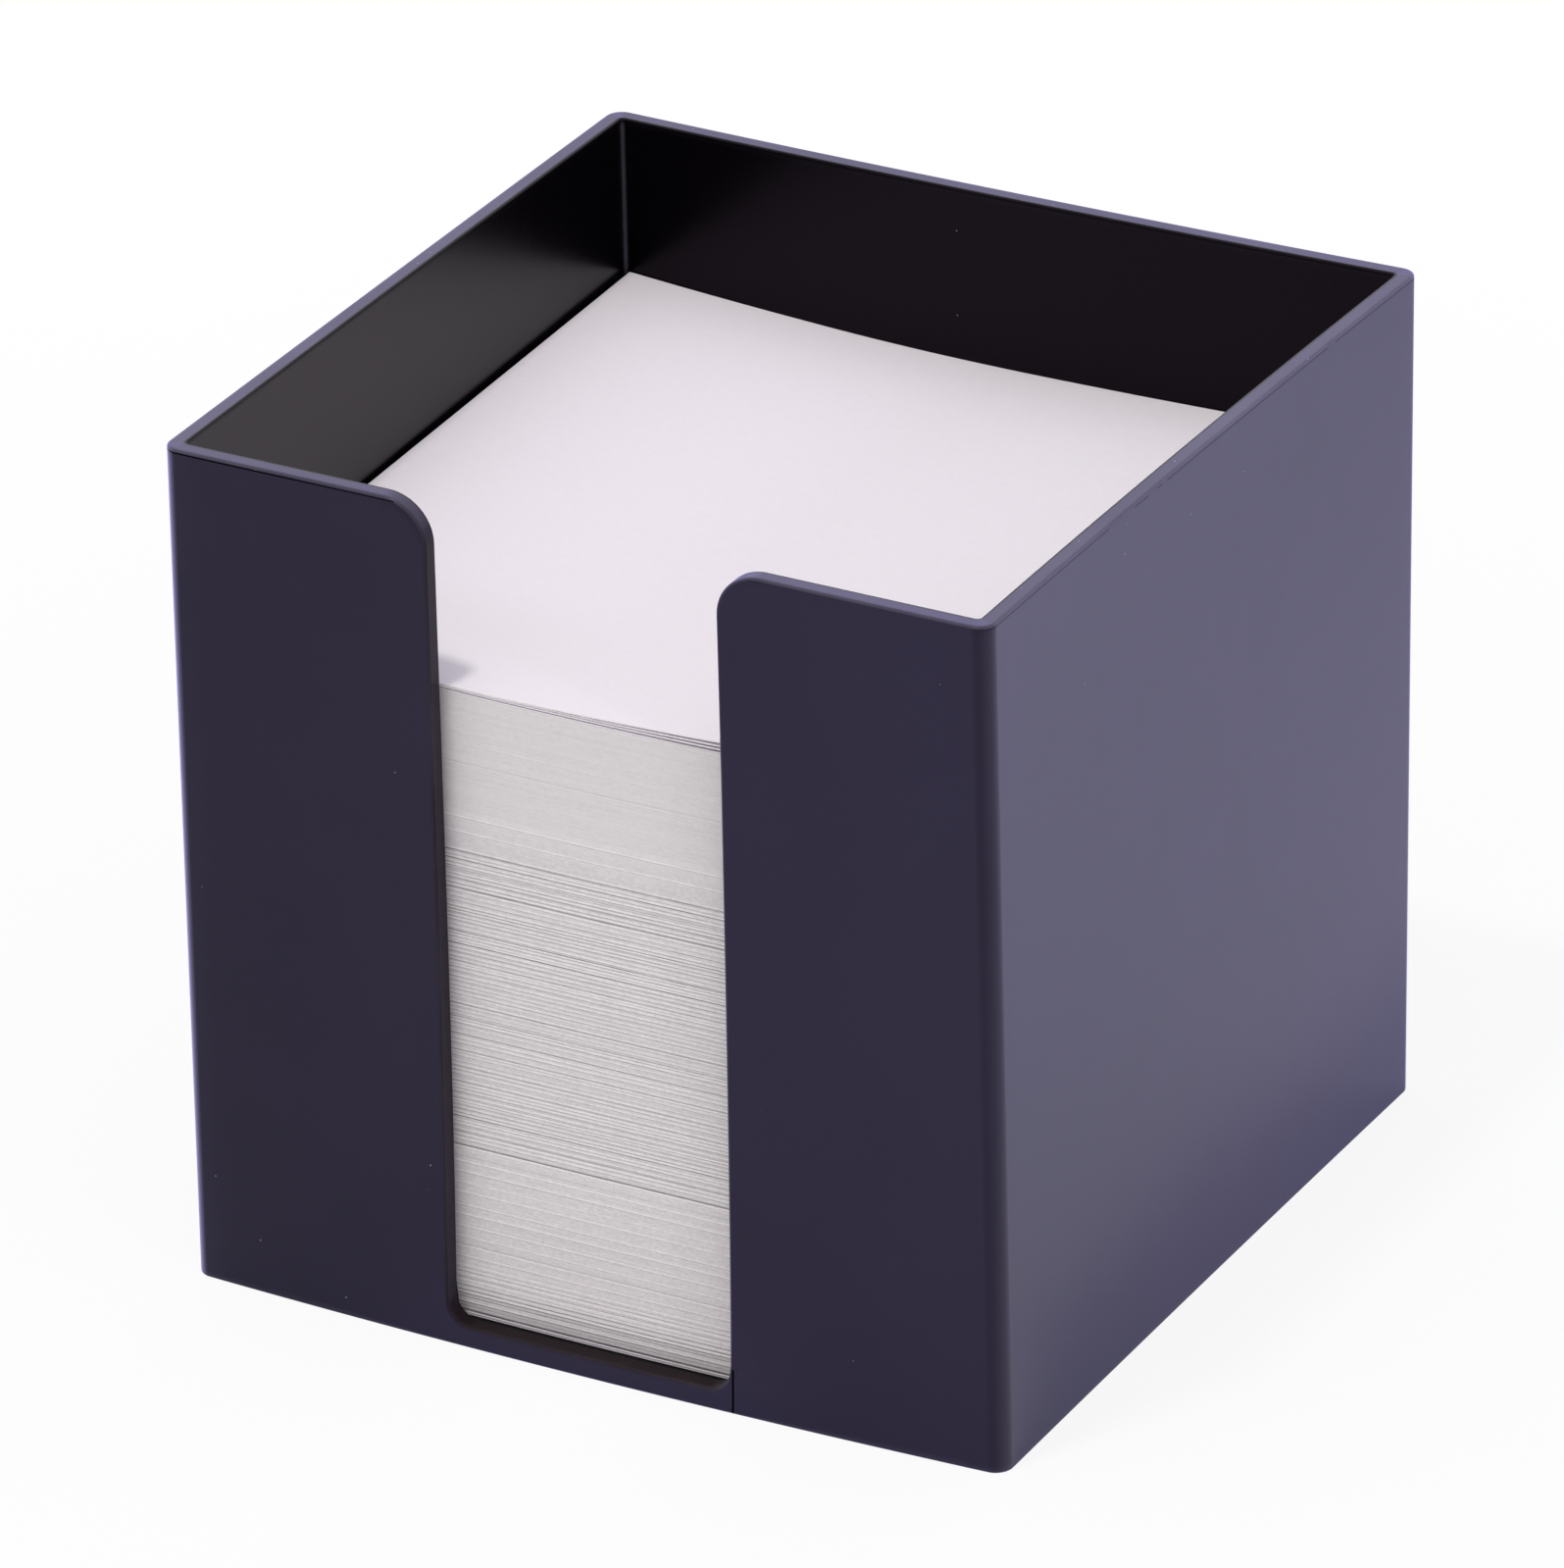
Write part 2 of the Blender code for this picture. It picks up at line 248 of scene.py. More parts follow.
def contour(path, half, corner, x):
    # Rounded square of a half width and corner radius, at every station: the straight run's point
    # (half - corner)(run along + out) carried out by the radius along the surface's normal
    side, normal = np.radians(path["side"]), np.radians(path["normal"])
    out = np.stack([np.cos(side), np.sin(side)])
    along = np.stack([-np.sin(side), np.cos(side)])
    place = (1 - path["mix"]) * x + path["mix"] * path["run"] * (half - corner)
    return place * along + (half - corner) * out + corner * np.stack([np.cos(normal), np.sin(normal)])


def floorDip(x, y, z):
    # how far the floor has sunk: (1 - (x / half)^2)^2 across, v^2 back from the front wall, with
    # v 1 at the front and 0 in the middle, and (1 - z / dipTop)^2 up the stack
    across = np.clip(1 - (x / box["innerHalf"]) ** 2, 0, 1) ** 2
    back = np.clip(-y / box["innerHalf"], 0, 1) ** 2
    return warp["floorDip"] * across * back * np.clip(1 - z / warp["dipTop"], 0, 1) ** 2


def warped(points, inner):
    # Corners' shifts shared out over the plan, from the base's to the rim's with the height s,
    # and on each side a bow (1 - run squared)(rimBow s^rimPower + baseBow (1 - s)^basePower). The
    # jambs draw together by (1 - beyond)^2, the right one times 1 - jambFade s^jambPower
    x, y, z = points.T
    half = box["rimHalf"]
    wallDepth = warp["wallEnd"] - warp["wallStart"]
    u, v, s = (x / half + 1) / 2, (y / half + 1) / 2, np.clip(z / box["height"], 0, 1)
    shares = np.stack([(1 - u) * (1 - v), u * (1 - v), u * v, (1 - u) * v])
    shift = (shares * s).T @ warp["rimCorners"] + (shares * (1 - s)).T @ warp["baseCorners"]
    for side in range(4):
        angle = math.radians(90 * side - 90)
        out = x * math.cos(angle) + y * math.sin(angle)
        run = (y * math.cos(angle) - x * math.sin(angle)) / half
        near = np.clip((out - warp["wallStart"]) / wallDepth, 0, 1)
        high = warp["rimBows"][side] * s ** warp["rimPower"]
        bow = high + warp["baseBows"][side] * (1 - s) ** warp["basePower"]
        bow = bow * (1 - np.minimum(run**2, 1)) * near**2 * (3 - 2 * near)
        shift -= bow[:, None] * np.array([math.cos(angle), math.sin(angle)])
    front = np.clip((-y - warp["wallStart"]) / wallDepth, 0, 1)
    beyond = np.clip((np.abs(x) - box["slotHalf"]) / warp["jambReach"], 0, 1)
    fade = np.clip(1 - warp["jambFade"] * s ** warp["jambPower"], 0, 1)
    drawn = np.where(x < 0, warp["jambLeft"], warp["jambRight"] * fade)
    shift[:, 0] -= np.clip(x / box["slotHalf"], -1, 1) * drawn * front * (1 - beyond) ** 2
    lift = shares.T @ warp["rimLifts"] * s - inner * floorDip(x, y, z - box["floor"])
    moved = points + np.column_stack([shift, lift])
    least = warp["innerLeast"] - warp["propFade"] * np.maximum(0, z - warp["propTop"])
    propped = inner & (x > warp["wallEnd"])
    moved[:, 0] = np.where(propped, np.maximum(moved[:, 0], least), moved[:, 0])
    return moved


def wallRing(path, x, z, depth):
    # points between the outer wall (depth 0) and the inner wall (depth 1) at a height
    outer = contour(path, outerHalf(z), box["outerCorner"], x)
    inner = contour(path, innerHalf(z), box["innerCorner"], x)
    return np.vstack([(1 - depth) * outer + depth * inner, z])


def flatRing(path, half, corner, z, share=1.0):
    ring = contour(path, half, corner, path["footX"]) * share
    return np.vstack([ring, np.full(ring.shape[1], z)])


def bloomOf(points, sideways, corner):
    # Thickness of the bloom of fine scuffs, with s the share of the height: 1 + bloomHigh (2 s - 1)
    # everywhere, with bloomSide + bloomBack (y / height)(1 - s) more on the side walls and
    # bloomFront + bloomAcross x / half on the front and the back, and more at the corners. Under
    # the slot it is bloomSill exp(-(x / wide)^4 - (z / high)^2) thicker
    x, y, z = points.T
    s = z / box["height"]
    across = plastic["bloomFront"] + plastic["bloomAcross"] * x / box["rimHalf"]
    along = plastic["bloomSide"] + plastic["bloomBack"] * y / box["height"] * (1 - s)
    wide, high = x / plastic["bloomSillWide"], z / plastic["bloomSillHigh"]
    sill = plastic["bloomSill"] * np.exp(-(wide**4) - high**2)
    thick = 1 + plastic["bloomHigh"] * (2 * s - 1) + sideways * along + (1 - sideways) * (across + sill)
    return thick + plastic["bloomCorner"] * corner


def makeHousing():
    # One closed surface carried along the lip: from the floor's middle up the inner wall, over
    # the lip and down the outer wall to the recess and the gate stub under the floor. Its marks:
    # how much an edge is rubbed, which is also painted highlight on the rim's top, its rounds and
    # the inner corners, how much a face is open to handling and dust, where the inner faces, at 0,
    # get painted shade, the faces of the slot, which the mould's insert left dull, the side walls,
    # the height in the mould, and how thick the bloom is
    path = lipPath()
    x, z, inX, inZ, footX = (path[key] for key in ("x", "z", "inX", "inZ", "footX"))
    rim = np.where(z > box["height"] / 2, -inZ, 0.0)  # 1 on the rim, 0 in the slot
    wall = outerHalf(z) - innerHalf(z)
    quarter = np.radians(np.linspace(0, 90, roundSteps + 1))
    corner = np.sin(2 * np.radians(path["normal"] - path["side"])) ** 2
    sideways = np.cos(np.radians(path["normal"])) ** 2
    jambHaze = plastic["bloomJamb"] * np.abs(inX) * (1 - rim)
    rings, insides = [], []
    kept = {"edgeWearAndHighlight": [], "openHazeAndLight": [], "slotFace": [], "bloom": []}

    def keep(ring, wearAndHighlight=0.0, hazeAndLight=0.0, inside=False, dull=0.0, bloom=0.0):
        rings.append(ring)
        insides.append(np.full(ring.shape[1], inside))
        for key, value in zip(kept, (wearAndHighlight, hazeAndLight, dull, bloom)):
            kept[key].append(np.full(ring.shape[1], value))

    def rubbedAndHighlit(least):
        return least + (1 - least) * rim

    for share in floorShares:
        keep(flatRing(path, innerHalf(box["floor"]), box["innerCorner"], box["floor"], share), inside=True)
    crisp, soft = box["innerRound"], box["edgeRound"]
    # up the inner wall the corner mark is also the wear, which lightens the inner corners as painted
    # highlight
    for share in wallShares:
        across = footX + share * (x + crisp * inX - footX)
        level = box["floor"] + share * (z + crisp * inZ - box["floor"])
        keep(wallRing(path, across, level, 1.0), corner, inside=True)
    for angle in quarter:
        back = crisp * (1 - math.sin(angle))
        depth = 1 - crisp * (1 - math.cos(angle)) / wall
        keep(wallRing(path, x + back * inX, z + back * inZ, depth), edgeWearAndHighlight["inside"], dull=1 - rim)
    # the lip's flats: on the rim the wear is full, which lightens the rim's top as painted highlight
    for share in lipShares:
        depth = 1 - crisp / wall + share * ((soft + crisp) / wall - 1)
        hazeAndLight = np.maximum(rim, jambHaze)
        bloom = plastic["bloomRim"] * rim
        keep(wallRing(path, x, z, depth), rubbedAndHighlit(edgeWearAndHighlight["inside"]), hazeAndLight, dull=1 - rim, bloom=bloom)
    # the lip's outer round: wear, and on the rim painted highlight along the edge
    for angle in quarter[::-1]:
        back = soft * (1 - math.sin(angle))
        ring = wallRing(path, x + back * inX, z + back * inZ, soft * (1 - math.cos(angle)) / wall)
        wornAndHighlit = rubbedAndHighlit(edgeWearAndHighlight["slot"]) * min(1.0, wearAndHighlightEndGain * math.sin(angle))
        hazeAndLight = np.maximum(np.maximum(rim, 1 - math.sin(angle)), jambHaze)
        bloom = (plastic["bloomRim"] * math.sin(angle) + plastic["bloomEdge"] * math.sin(2 * angle)) * rim
        keep(ring, wornAndHighlit, hazeAndLight, dull=(1 - rim) * math.sin(angle), bloom=bloom)
    base = box["baseRound"]
    startX, startZ = x + soft * inX, z + soft * inZ
    for share in wallShares:
        ring = wallRing(path, startX + share * (footX - startX), startZ + share * (base - startZ), 0.0)
        keep(ring, 0.0, 1.0)
    for angle in quarter:
        inset = base * (1 - math.cos(angle))
        radius = box["outerCorner"] - inset
        ring = flatRing(path, outerHalf(0) - inset, radius, base * (1 - math.sin(angle)))
        keep(ring, edgeWearAndHighlight["base"], 1.0)
    edge = outerHalf(0) - box["recessBorder"]
    around = flatRing(path, edge, box["recessCorner"], box["recessDepth"])
    gate = around[:2] / np.hypot(*around[:2]) * box["gateRadius"]
    keep(flatRing(path, edge, box["recessCorner"], 0.0))
    keep(around)
    keep(np.vstack([gate, around[2]]))
    keep(np.vstack([gate, around[2] - box["gateHeight"]]))

    size = rings[0].shape[1]
    points = np.stack(rings).transpose(0, 2, 1).reshape(-1, 3)
    poles = [[0, 0, box["floor"]], [0, 0, box["recessDepth"] - box["gateHeight"]]]
    points = np.vstack([points, poles])
    onPoles = [0, 0]
    marks = {key: np.append(np.concatenate(values), onPoles) for key, values in kept.items()}
    marks["sideFace"] = np.append(np.tile(sideways, len(rings)), onPoles)
    marks["mouldHeight"] = points[:, 2]
    marks["bloom"] += bloomOf(points, marks["sideFace"], np.append(np.tile(corner, len(rings)), onPoles))
    points = warped(points, np.append(np.concatenate(insides), [True, False]))
    here = np.arange(len(rings) * size).reshape(len(rings), size)
    ahead = np.roll(here, -1, axis=1)
    quads = np.stack([here[:-1], here[1:], ahead[1:], ahead[:-1]], axis=-1).reshape(-1, 4)
    top, bottom = len(points) - 2, len(points) - 1
    fan = np.stack([np.full(size, top), here[0], ahead[0]], axis=-1)
    under = np.stack([here[-1], np.full(size, bottom), ahead[-1]], axis=-1)
    piece = meshObject("housingShell", points, quads.tolist() + fan.tolist() + under.tolist(), marks)
    piece.data.set_sharp_from_angle(angle=sharpAngle)
    even = piece.modifiers.new("evenShading", "WEIGHTED_NORMAL")
    even.keep_sharp = True
    return piece


# Sheets: 90 mm square notes, flat at the bottom of the box and curled up at the sides and the
# back left corner at the top
stack = {
    "side": 90.0 * mm,
    "sheet": 0.1 * mm,
    "fillShare": 0.97,  # of the height it is given, that a sheet in a pack fills
    "air": 0.1 * mm,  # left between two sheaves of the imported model
    "lowerHeight": 19.0 * mm,
    "middleHeight": 34.2 * mm,
    "upperHeight": 17.6 * mm,
    "looseGap": 0.05 * mm,
    "looseFan": 0.42 * mm,
    "looseThick": 0.14 * mm,  # the loose sheets' cut edges are pressed a little thicker
    "fanStartShare": 0.25,
    "backRise": 2.28 * mm,
    "sideRise": 1.18 * mm,
    "rightFall": 0.3 * mm,
    "backFadeShare": 0.917,
    "curlPower": 1.5,
    "seed": 5,
}
sheetCells = {"bottom": 24, "lower": 12, "middle": 6, "upper": 6, "cover": 40, "loose": 40}
sheetTones = {"bottom": 0.6, "loose": 0.7, "mean": 0.5, "spread": 0.2}  # from shaded 0 to plain 1
stackHalf = stack["side"] / 2
stackFoot = box["floor"] + stack["air"]
bottomCount = sum(name.startswith("bottom_sheet_") for name in frame["nodes"])
bottomStep = stack["sheet"] + stack["air"]
middleFoot = bottomCount * bottomStep + stack["lowerHeight"]
upperFoot = middleFoot + stack["middleHeight"]
looseFoot = upperFoot + stack["upperHeight"]
looseStep = stack["sheet"] + stack["looseGap"]


def sheetHeight(level, x, y):
    # Height of the stack's surface at a level: a shallow trough from front to back that climbs
    # towards the back, sideRise (2u - 1)^2 + backRise v (1 - backFadeShare u) - rightFall u, with
    # u across and v along the sheet. The loose sheets part to the right by looseFan
    # (3 t^2 - 2 t^3), with t the share of the way
    u = (x + stackHalf) / stack["side"]
    v = (y + stackHalf) / stack["side"]
    climb = stack["backRise"] * v * (1 - stack["backFadeShare"] * u)
    curl = stack["sideRise"] * (2 * u - 1) ** 2 + climb - stack["rightFall"] * u
    curled = np.maximum(0, level - middleFoot) / (looseFoot - middleFoot)
    fanned = np.maximum(0, level - looseFoot) / looseStep
    opened = np.clip((u - stack["fanStartShare"]) / (1 - stack["fanStartShare"]), 0, 1)
    fan = stack["looseFan"] * opened**2 * (3 - 2 * opened)
    height = stackFoot + level + curled ** stack["curlPower"] * curl + fanned * fan
    return height - floorDip(x, y, level)


def sheetPile(name, levels, thickness, shifts, turns, tones, burrsAndPaintedLight, cells):
    # Thin square slabs, each a grid of cells that follows the curl, with its own shift and turn,
    # tone and burr: above 0 its cut edge is lighter with painted highlight, below 0 darker with
    # painted shade
    line = np.linspace(-stackHalf, stackHalf, cells + 1)
    u, v = np.meshgrid(line, line, indexing="ij")
    cosine, sine = np.cos(turns)[:, None, None], np.sin(turns)[:, None, None]
    x = shifts[:, 0, None, None] + cosine * u - sine * v
    y = shifts[:, 1, None, None] + sine * u + cosine * v
    z = sheetHeight(levels[:, None, None], x, y)
    under = np.stack([x, y, z], axis=-1)
    over = under + np.array([0, 0, thickness])
    points = np.stack([under, over], axis=1)
    index = np.arange(2 * u.size).reshape(2, cells + 1, cells + 1)
    low, high = index
    quads = [
        np.stack([high[:-1, :-1], high[1:, :-1], high[1:, 1:], high[:-1, 1:]], axis=-1).reshape(-1, 4),
        np.stack([low[:-1, :-1], low[:-1, 1:], low[1:, 1:], low[1:, :-1]], axis=-1).reshape(-1, 4),
    ]
    rimLow = np.concatenate([low[:-1, 0], low[-1, :-1], low[:0:-1, -1], low[0, :0:-1]])
    rimHigh = np.concatenate([high[:-1, 0], high[-1, :-1], high[:0:-1, -1], high[0, :0:-1]])
    quads.append(np.stack([rimLow, np.roll(rimLow, -1), np.roll(rimHigh, -1), rimHigh], axis=-1))
    one = np.concatenate(quads)
    faces = (one[None] + (np.arange(len(levels)) * index.size)[:, None, None]).reshape(-1, 4)
    marks = {"tone": np.repeat(tones, index.size), "burrAndPaintedLight": np.repeat(burrsAndPaintedLight, index.size)}
    piece = meshObject(name, points, faces.tolist(), marks)
    piece.data.set_sharp_from_angle(angle=sharpAngle)
    return piece


# How the sheets lie: drawn in one go for the whole stack, from the bottom up
lie = {
    "jitter": 0.006 * mm,  # every sheet
    "setBackShare": 0.5,  # of the free gap: how far back from the slot the flush sheets lie
    "bunchShare": {"lower": 0.05, "middle": 0.14, "upper": 0.03},  # chance that a new bunch starts
    "bunchShift": {"lower": 0.004 * mm, "middle": 0.006 * mm, "upper": 0.003 * mm},
    "proudTurn": 0.3,  # how far a sheet that stands out is turned as well
    "turnShare": 0.25,  # of the free gap, that a turn takes up at most
    "roomShare": 0.85,  # of the free gap beside the stack
}

# The three loose sheets: how far each lies back from the box's middle, its turn in radians, and
# its burr, painted highlight on its cut edge
looseSheets = (
    {"name": "third", "back": 0.20 * mm, "turn": -0.0040, "burrAndPaintedLight": 0.7},
    {"name": "second", "back": 0.19 * mm, "turn": -0.0042, "burrAndPaintedLight": 0.7},
    {"name": "top", "back": 0.14 * mm, "turn": 0.0, "burrAndPaintedLight": 0.7},
)

# Lines on the cut edges, painted highlight over painted shadow, standing in for light caught by
# sheets that stand out and the shade under them: stretches of the stack up to a height, each
# with its light and its dark lines for a sheet, the strength of the strongest, and the grain
# and the lift between them; the lift is painted light over the whole stretch, strongest next
# to the sill
edgeLines = (
    {"to": 5.6 * mm, "light": 0.10, "dark": 0.22, "most": 3.2, "grain": 0.20, "lift": 0.80},
    {"to": 18.8 * mm, "light": 0.08, "dark": 0.01, "most": 1.3, "grain": 0.08, "lift": 0.25},
    {"to": 37.5 * mm, "light": 0.19, "dark": 0.06, "most": 1.4, "grain": 0.14, "lift": 0.05},
    {"to": 53.5 * mm, "light": 0.22, "dark": 0.09, "most": 1.8, "grain": 0.16, "lift": 0.05},
    {"to": 58.0 * mm, "light": 0.06, "dark": 0.01, "most": 1.0, "grain": 0.08, "lift": 0.1},
    {"to": 90.0 * mm, "light": 0.01, "dark": 0.01, "most": 0.3, "grain": 0.05, "lift": 0.0},
)
lineLeastShare = 0.4  # the faintest of the lines, against the strongest
lineGapLeast = 0.4  # the smallest gap between two lines, against the usual one
lineShares = {-1: -0.7, 0: 1.0, 1: 0.9}  # a light line's sheets from below: painted shadow, then painted highlight
# a dark line of painted shade takes one sheet
darkShares = {0: -1.0}
lineProud = 0.015 * mm  # how far a sheet with the strongest light line stands out

# Burrs of each pack's lowest and topmost sheets, which draw the strong lines between the packs
# in painted highlight and painted shadow
endBurrsAndPaintedLight = {
    "lower": ((-2.2, -1.0, 1.0, 1.2, 0.6), (0.5, 1.2, 1.3)),
    "middle": ((-2.4, -0.9), ()),
    "upper": ((), (0.0, -0.2, 0.6)),
}
# painted highlight on the bottom sheets' cut edges, just above the sill
bottomBurrAndHighlight = 1.3


def burrsAndPaintedLightOf(levels, chance):
    # One burr a sheet: a slight grain, crossed by painted highlight lines over painted shadow and
    # by lines of painted shade, with a lift of painted light
    size = len(levels)
    band = np.searchsorted([line["to"] for line in edgeLines], levels)
    value = {key: np.array([line[key] for line in edgeLines])[band] for key in edgeLines[0]}
    draws = chance.random((4, size))
    strength = value["most"] * (lineLeastShare + (1 - lineLeastShare) * draws[2:])
    steps = [value["light"], value["dark"]] * (lineGapLeast + 2 * (1 - lineGapLeast) * draws[:2])
    light, dark = np.diff(np.floor(np.cumsum(steps, axis=1)), axis=1, prepend=0) * strength
    burrsAndPaintedLight = value["lift"] + value["grain"] * chance.normal(0, 1, size)
    for starts, shares in ((light, lineShares), (dark, darkShares)):
        for step, share in shares.items():
            burrsAndPaintedLight += share * np.roll(starts, step)
    return burrsAndPaintedLight


def lieOf(levels, burrsAndPaintedLight, region, chance):
    # Shifts and turns of sheets: a bunch's shared offset, each sheet's own jitter, and the sheets
    # with a light line a little proud, all kept inside the free gap beside the stack
    size = len(levels)
    free = innerHalf(stackFoot + levels) - stackHalf
    bunch = np.cumsum(chance.random(size) < lie["bunchShare"][region])
    offsets = chance.normal(0, lie["bunchShift"][region], (size, 2))[bunch - bunch[0]]
    turned = chance.normal(0, lie["bunchShift"][region], size)[bunch - bunch[0]]
    shifts = offsets + chance.normal(0, lie["jitter"], (size, 2))
    turns = turned + chance.normal(0, lie["jitter"], size)
    out = lineProud * np.maximum(burrsAndPaintedLight, 0)
    shifts[:, 1] += lie["setBackShare"] * free - out
    turns += chance.normal(0, lie["proudTurn"], size) * out
    turns = np.clip(turns, -lie["turnShare"] * free, lie["turnShare"] * free)
    reach = lie["roomShare"] * free - np.abs(turns)
    shifts = np.clip(shifts, -reach[:, None], reach[:, None])
    return shifts, turns / stackHalf


def makeSheets():
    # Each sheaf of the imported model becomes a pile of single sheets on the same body
    chance = np.random.default_rng(stack["seed"])
    pieces = []
    single = np.zeros(1)
    for number in range(bottomCount):
        name = f"bottomSheet{number + 1}Paper"
        shifts = chance.normal(0, lie["jitter"], (1, 2))
        marks = (single + sheetTones["bottom"], single + bottomBurrAndHighlight, sheetCells["bottom"])
        piece = sheetPile(name, single + number * bottomStep, stack["sheet"], shifts, single, *marks)
        pieces.append((piece, f"bottom_sheet_{number + 1}"))
    packs = (
        ("lower", bottomCount * bottomStep, stack["lowerHeight"]),
        ("middle", middleFoot, stack["middleHeight"]),
        ("upper", upperFoot, stack["upperHeight"]),
    )
    for region, foot, height in packs:
        count = sum(name.startswith(f"{region}_sheaf_") for name in frame["nodes"])
        step = height / count
        sheets = round(step / stack["sheet"])
        pitch = step / sheets
        levels = foot + pitch * np.arange(count * sheets)
        burrsAndPaintedLight = burrsAndPaintedLightOf(levels, chance)
        lowest, topmost = endBurrsAndPaintedLight[region]
        burrsAndPaintedLight[: len(lowest)] = lowest
        burrsAndPaintedLight[len(burrsAndPaintedLight) - len(topmost) :] = topmost
        shifts, turns = lieOf(levels, burrsAndPaintedLight, region, chance)
        tones = np.clip(chance.normal(sheetTones["mean"], sheetTones["spread"], len(levels)), 0, 1)
        for number in range(count):
            first, end = number * sheets, (number + 1) * sheets
            piles = [(f"{region}Sheaf{number + 1}Sheets", first, end, sheetCells[region])]
            if number == count - 1:
                piles = [(piles[0][0], first, end - 1, sheetCells[region])]
                piles.append((f"{region}CoverSheet", end - 1, end, sheetCells["cover"]))
            for name, low, high, cells in piles:
                own = slice(low, high)
                lay = (shifts[own], turns[own], tones[own], burrsAndPaintedLight[own], cells)
                piece = sheetPile(name, levels[own], pitch * stack["fillShare"], *lay)
                pieces.append((piece, f"{region}_sheaf_{number + 1}"))
    for number, loose in enumerate(looseSheets):
        name = f"{loose['name']}SheetPaper"
        level = single + looseFoot + (number + 1) * looseStep + stack["sheet"] - stack["looseThick"]
        shifts, turns = np.array([[0.0, loose["back"]]]), single + loose["turn"]
        marks = (single + sheetTones["loose"], single + loose["burrAndPaintedLight"], sheetCells["loose"])
        piece = sheetPile(name, level, stack["looseThick"], shifts, turns, *marks)
        pieces.append((piece, f"{loose['name']}_sheet"))
    bodies = frame["record"]["behaviour"]["bodies"]
    bodyOf = {node: body for body, nodes in bodies.items() for node in nodes}
    for piece, node in pieces:
        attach(piece, bodyOf[node])
        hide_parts(node)
    return [piece for piece, node in pieces]


# Satin injection-moulded polystyrene: a near black body, a very fine spark-eroded grain under an
# even, slightly soft shine, and on the open faces a bloom of fine scuffs that scatters blue light
plastic = {
    "colour": "#0B080C",
    "deepColour": "#060407",
    # painted shade: the inner faces take this darker colour
    "insidePaintedShade": "#030204",
    # the worn colour is also painted highlight on the rim's top, its rounds and the inner corners
    "wornAndHighlightColour": "#5A5660",
    "slotPaintedWarmLight": "#180A0B",  # painted warm brown on the slot's faces, standing in for the warm light they show
    "slotSpeckGain": 5.0,  # how strongly the grain speckles it
    "slotSpeckLeast": 0.3,
    "ior": 1.59,
    "specularTint": "#7D6F83",  # a deep gloss: it lowers the shine seen face on, not the grazing one
    # painted shade: the inner faces' darker gloss tint
    "insideShadeTint": "#746379",
    "slotTint": "#564C5A",
    "sidePaintedReflection": "#BDB5C0",  # painted reflection: the side walls reflect more than the front
    "sideLowPaintedReflection": "#D7CAC5",  # and most of all at their foot
    "sideLowTop": 45 * mm,
    "openGloss": 0.5,
    # painted shade: the inner faces' lower gloss
    "insideShadeGloss": 0.42,
    "slotGloss": 0.15,
    "slotRough": 0.15,  # how much rougher the slot's faces are
    "roughness": 0.26,
    "roughnessSpread": 0.06,
    "hazeColour": "#ABA4EE",
    "hazeWeight": 0.96,
    "hazeRoughness": 0.45,
    "bloomHigh": 0.08,  # how much thicker the bloom is at the rim than halfway up
    "bloomSide": -0.1,  # and on the side walls
    "bloomBack": 0.5,  # and low on these, towards the back
    "bloomFront": 0.08,
    "bloomAcross": 0.3,
    "bloomCorner": 0.9,
    "bloomRim": 0.5,
    "bloomEdge": 0.5,
    "bloomJamb": 0.15,  # how much of it the slot's jambs have
    "bloomSill": 0.5,  # and more below the slot, where fingers rest
    "bloomSillWide": 22 * mm,
    "bloomSillHigh": 9 * mm,
    "bloomCloud": 0.2,  # how cloudy it is
    "cloudSize": 18 * mm,
    "grainSize": 0.25 * mm,
    "grainDepth": 0.004 * mm,
    "grainStrength": 0.6,
    "dustSpacing": 2.6 * mm,
    "dustRadius": 0.075 * mm,
    "dustShare": 0.55,  # share of the dust's cells that hold a speck
    "dustColour": "#A8A6AE",
    "nickSpacing": 1.9 * mm,  # tiny nicks along the edges that are worn more than this
    "nickRadius": 0.09 * mm,
    "nickWear": 0.4,
    "lineX": 16.95 * mm,  # mark left by the mould's slot insert, below its right corner
    "lineWidth": 0.22 * mm,
    "lineTop": 5.0 * mm,
    "lineFront": -46.5 * mm,
    "partingTop": 0.38 * mm,  # the mould's parting line runs round outside, this far under the rim
    "partingWidth": 0.15 * mm,
    "partingBreak": 9 * mm,
    "partingGaps": 0.4,  # share of the noise's range in which the line is gone
    "partingFade": 0.7,  # it is deep at the front's left and fades to its right
    "partingMiddle": 0.5,
    "partingSide": 0.6,
    "insideTop": 0.30 * mm,  # and a fainter line round the inner walls, painted shade under the rim's inner edge
    "insideWidth": 0.22 * mm,
    "insideShare": 0.5,
    "openLeast": 0.95,  # a face is outside above this mark, and inside below the next
    "insideMost": 0.05,
}
black = (0.0, 0.0, 0.0, 1.0)


